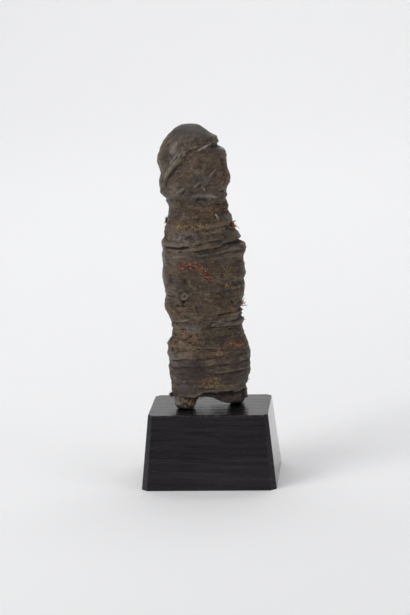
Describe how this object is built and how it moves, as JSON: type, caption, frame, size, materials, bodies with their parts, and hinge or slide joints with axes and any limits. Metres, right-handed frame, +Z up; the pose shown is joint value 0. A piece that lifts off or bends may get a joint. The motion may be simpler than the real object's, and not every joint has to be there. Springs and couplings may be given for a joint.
{
  "type": "wooden figurine",
  "caption": "Slim standing wooden figurine wound from head to hem in dark, hardened strips of cloth, its short feet showing, on a black tapered wooden plinth.",
  "frame": {"origin": "centre of the plinth's underside", "axes": "+Z up, +X to the viewer's right, and the front of the figure faces -Y"},
  "size_m": [0.0792, 0.063, 0.2114],
  "materials": {
    "plinth": "satin",
    "wooden_figure": "matte",
    "cloth_wrapping": "matte"
  },
  "bodies": {
    "root": {"plinth": "plinth", "wooden_figure": "wooden_figure", "cloth_wrapping": "cloth_wrapping"}
  },
  "joints": []
}
